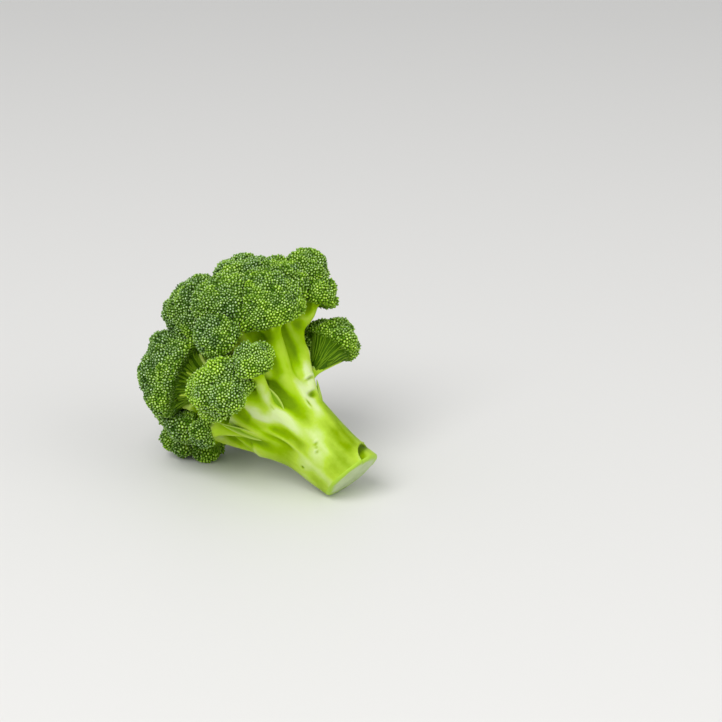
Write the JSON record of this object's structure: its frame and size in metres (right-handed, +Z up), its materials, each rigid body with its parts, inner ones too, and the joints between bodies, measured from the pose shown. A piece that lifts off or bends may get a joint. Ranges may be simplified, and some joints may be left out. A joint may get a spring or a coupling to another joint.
{
  "type": "broccoli head",
  "caption": "Head of broccoli, cut and lying on its side: a thick ribbed stalk that forks into branches, each with a domed bunch of green buds.",
  "frame": {"origin": "on the ground, under the middle of the head's bounding box", "axes": "+Z up from the surface it lies on, +X in plan from the crown towards the stalk's cut end"},
  "size_m": [0.1532, 0.1272, 0.1296],
  "materials": {
    "stalk_flesh": "smooth waxy skin, pale on the ribs and deeper green in the grooves",
    "buds": "tight beads with a blue-green bloom, dark between them"
  },
  "bodies": {
    "root": {"stalk": "stalk_flesh", "floret_01": "buds", "floret_02": "buds", "floret_03": "buds", "floret_04": "buds", "floret_05": "buds", "floret_06": "buds", "floret_07": "buds", "floret_08": "buds", "floret_09": "buds", "floret_10": "buds", "floret_11": "buds", "floret_12": "buds", "floret_13": "buds", "floret_14": "buds", "floret_15": "buds", "floret_16": "buds", "floret_17": "buds", "floret_18": "buds", "floret_19": "buds", "floret_20": "buds", "floret_21": "buds", "floret_22": "buds", "floret_23": "buds", "floret_24": "buds", "floret_25": "buds"}
  },
  "joints": []
}
